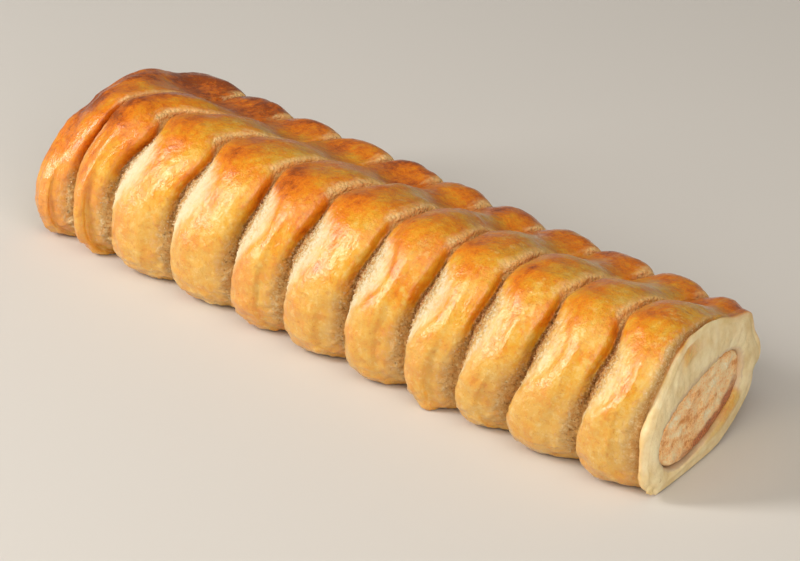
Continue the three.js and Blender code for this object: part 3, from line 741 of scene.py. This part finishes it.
# painted shade: the deep mark darkens slit floors, the lip's foot and the crevice by the filling towards the pit
# colour
shade = put("Math", "MULTIPLY", {0: known["deep"], 1: pastryLook["deepShade"]})
colour = glaze
for share, tone in ((slitShare, slitTone), (doughShare, doughTone), (shade, linear(pastryLook["pit"]))):
    colour = put("Mix", "RGBA", {0: share, 6: colour, 7: tone})
dry = put("Math", "MAXIMUM", {0: slitShare, 1: doughShare})
rough = put("MapRange", None, {"Value": dry, "To Min": pastryLook["glazeRough"],
                               "To Max": pastryLook["dryRough"]})
coat = put("MapRange", None, {"Value": dry, "To Min": pastryLook["coat"], "To Max": 0.0})
# heights in millimetres: swells and fine wrinkles in the glaze, open crumb where it tore
glazeRelief = 0.0
for key, height in pastryLook["reliefMm"].items():
    glazeRelief = put("Math", "MULTIPLY_ADD", {0: known[key], 1: height, 2: glazeRelief})
holes = put("Math", "ADD", {0: covering(1.0, *pastryLook["holesAt"]), 1: gaps})
crumbRelief = put("Math", "MULTIPLY", {0: known["speck"], 1: pastryLook["crumbSpeckMm"]})
crumbRelief = put("Math", "MULTIPLY_ADD", {0: holes, 1: pastryLook["crumbHoleMm"], 2: crumbRelief})
coarse = covering(slitShare, *pastryLook["coarseAt"])
crumbRelief = put("Math", "MULTIPLY", {0: crumbRelief, 1: coarse})
crumbRelief = put("Math", "MULTIPLY_ADD", {0: known["fine"], 1: pastryLook["crumbFineMm"], 2: crumbRelief})
relief = put("Mix", "FLOAT", {0: dry, 2: glazeRelief, 3: crumbRelief})
bump = put("Bump", None, {"Height": relief, "Distance": mm, "Strength": pastryLook["bump"]})
shader = put("BsdfPrincipled", None, {
    "Base Color": colour, "Roughness": rough, "Normal": bump, "IOR": pastryLook["ior"],
    "Specular Tint": linear(pastryLook["shine"]),
    "Coat Weight": coat, "Coat Roughness": pastryLook["coatRough"], "Coat Normal": bump,
    "Subsurface Weight": pastryLook["under"], "Subsurface Scale": pastryLook["underScale"],
    "Subsurface Radius": pastryLook["underRadius"]})
put("OutputMaterial", None, {"Surface": shader})

# Cooked minced filling: moist, grainy and pinkish tan, fried orange along its lower edge.
fillingLook = {
    "grainMm": 2.2, "grainDetail": 4.0, "fineMm": 0.5, "fineDetail": 3.0, "strands": (1.0, 0.35, 0.8),
    "grainShare": 0.65, "fineShare": 0.35, "friedNoise": {"grain": 1.3}, "friedShare": 0.9,
    "friedAt": (("fried", 0.3, 0.85),), "reliefMm": 0.3, "bump": 0.8,
    "tone": ((0.36, "#dc8f45"), (0.45, "#fcc382"), (0.53, "#ffdba2"), (0.66, "#fff0ce")),
    "browned": ((0.3, "#7a2f0a"), (0.65, "#c8661f")), "rough": 0.45, "under": 0.1, "underScale": 0.002,
}
fillingMaterial, tree = newMaterial("cookedMince")
spot = put("TexCoord", out="Object")
strands = put("VectorMath", "MULTIPLY", {0: spot, 1: fillingLook["strands"]})
known = {"browned": put("Attribute", "browned", out="Fac")}
for key, vector in (("grain", strands), ("fine", spot)):
    known[key] = put("TexNoise", None, {"Vector": vector, "Scale": 1 / (fillingLook[key + "Mm"] * mm),
                                        "Detail": fillingLook[key + "Detail"]})
known["fried"] = stirred(known["browned"], fillingLook["friedNoise"])
mince = put("Math", "MULTIPLY", {0: known["grain"], 1: fillingLook["grainShare"]})
mince = put("Math", "MULTIPLY_ADD", {0: known["fine"], 1: fillingLook["fineShare"], 2: mince})
tone = put("ValToRGB", None, {"Fac": mince}, fillingLook["tone"])
fried = put("ValToRGB", None, {"Fac": known["fine"]}, fillingLook["browned"])
friedShare = covering(fillingLook["friedShare"], *fillingLook["friedAt"])
colour = put("Mix", "RGBA", {0: friedShare, 6: tone, 7: fried})
relief = put("Math", "ADD", {0: known["grain"], 1: known["fine"]})
relief = put("Math", "MULTIPLY", {0: relief, 1: fillingLook["reliefMm"]})
bump = put("Bump", None, {"Height": relief, "Distance": mm, "Strength": fillingLook["bump"]})
shader = put("BsdfPrincipled", None, {
    "Base Color": colour, "Roughness": fillingLook["rough"], "Normal": bump,
    "Subsurface Weight": fillingLook["under"], "Subsurface Scale": fillingLook["underScale"]})
put("OutputMaterial", None, {"Surface": shader})

# Dry torn dough: matt cream shreds that catch the light in the slits.
shredLook = {"tone": ((0.2, "#b88c54"), (0.7, "#ead7b2")), "rough": 0.85, "under": 0.1, "underScale": 0.001}
shredMaterial, tree = newMaterial("dryTornDough")
# the shreds take the slit's paleness, so deeper ones are darker, partly as painted shade
tone = put("ValToRGB", None, {"Fac": put("Attribute", "open", out="Fac")}, shredLook["tone"])
shader = put("BsdfPrincipled", None, {
    "Base Color": tone, "Roughness": shredLook["rough"],
    "Subsurface Weight": shredLook["under"], "Subsurface Scale": shredLook["underScale"]})
put("OutputMaterial", None, {"Surface": shader})

pastry.data.materials.append(pastryMaterial)
tornShreds.data.materials.append(shredMaterial)
core.data.materials.append(fillingMaterial)
for piece, node in ((pastry, "pastry"), (core, "filling")):
    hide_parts(node)
    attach(piece, "root")
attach(tornShreds, "root")
print("materials done")

# pale floor, soft light and the camera
stage = {
    "floorColour": "#d8d5d0", "floorSize": 3.0, "floorZ": -0.0003, "floorRough": 0.8, "world": 0.1,
    "lamps": table("name from away size tall watts colour",
                   ("keyLight", (-0.58, -0.61, 0.47), 0.85, 0.22, 0.55, 6.3, "#fffaf4"),
                   ("fillLight", (0.8, -0.45, 0.45), 1.0, 0.7, 0.7, 3.9, "#fffaf4"),
                   ("topLight", (0.38, -0.38, 1.0), 1.05, 1.2, 1.2, 5.6, "#fff4e4")),
}
bpy.ops.object.select_all(action="DESELECT")
bpy.ops.mesh.primitive_plane_add(size=stage["floorSize"], location=(0, 0, stage["floorZ"]))
floorPiece = bpy.context.object
floorPiece.name = "paleFloor"
floorMaterial, tree = newMaterial("paleStudioPaper")
shader = put("BsdfPrincipled", None, {"Base Color": linear(stage["floorColour"]),
                                      "Roughness": stage["floorRough"]})
put("OutputMaterial", None, {"Surface": shader})
floorPiece.data.materials.append(floorMaterial)

for box in stage["lamps"]:
    lamp = bpy.data.lights.new(box["name"], "AREA")
    lamp.energy = box["watts"]
    lamp.shape = "RECTANGLE"
    lamp.size, lamp.size_y = box["size"], box["tall"]
    lamp.color = linear(box["colour"])[:3]
    holder = bpy.data.objects.new(box["name"], lamp)
    bpy.context.scene.collection.objects.link(holder)
    towards = Vector(box["from"]).normalized()
    holder.location = towards * box["away"]
    holder.rotation_euler = towards.to_track_quat("Z", "Y").to_euler()
world = bpy.data.worlds.new("softWhite")
bpy.context.scene.world = world
world.use_nodes = True
world.node_tree.nodes["Background"].inputs["Color"].default_value = (1, 1, 1, 1)
world.node_tree.nodes["Background"].inputs["Strength"].default_value = stage["world"]
bpy.context.scene.view_settings.view_transform = "Standard"

# the view: turned 44 degrees towards the near end and looking down 27, from far off
view = {"azimuth": 44.2, "elevation": 26.57, "distanceMm": 1416.0, "pxPerMm": 4.2108, "aimX": 406.3,
        "aimY": 258.8, "aimZ": 18, "wide": 800, "high": 561, "sensorMm": 36, "seesTo": 10}
a, e = math.radians(view["azimuth"]), math.radians(view["elevation"])
backwards = Vector((math.sin(a) * math.cos(e), -math.cos(a) * math.cos(e), math.sin(e)))
rightwards = Vector((math.cos(a), math.sin(a), 0))
upwards = backwards.cross(rightwards)
eye = Vector((0, 0, view["aimZ"])) + backwards * view["distanceMm"]
eye += (rightwards * ((view["wide"] / 2 - view["aimX"]) / view["pxPerMm"])
        - upwards * ((view["high"] / 2 - view["aimY"]) / view["pxPerMm"]))
lens = bpy.data.cameras.new("camera")
lens.lens = view["pxPerMm"] * view["distanceMm"] * view["sensorMm"] / view["wide"]
lens.clip_end = view["seesTo"]
camera = bpy.data.objects.new("camera", lens)
bpy.context.scene.collection.objects.link(camera)
turned = Matrix((rightwards, upwards, backwards)).transposed().to_4x4()
camera.matrix_world = Matrix.Translation(eye * mm) @ turned
bpy.context.scene.camera = camera
print("stage and camera done")
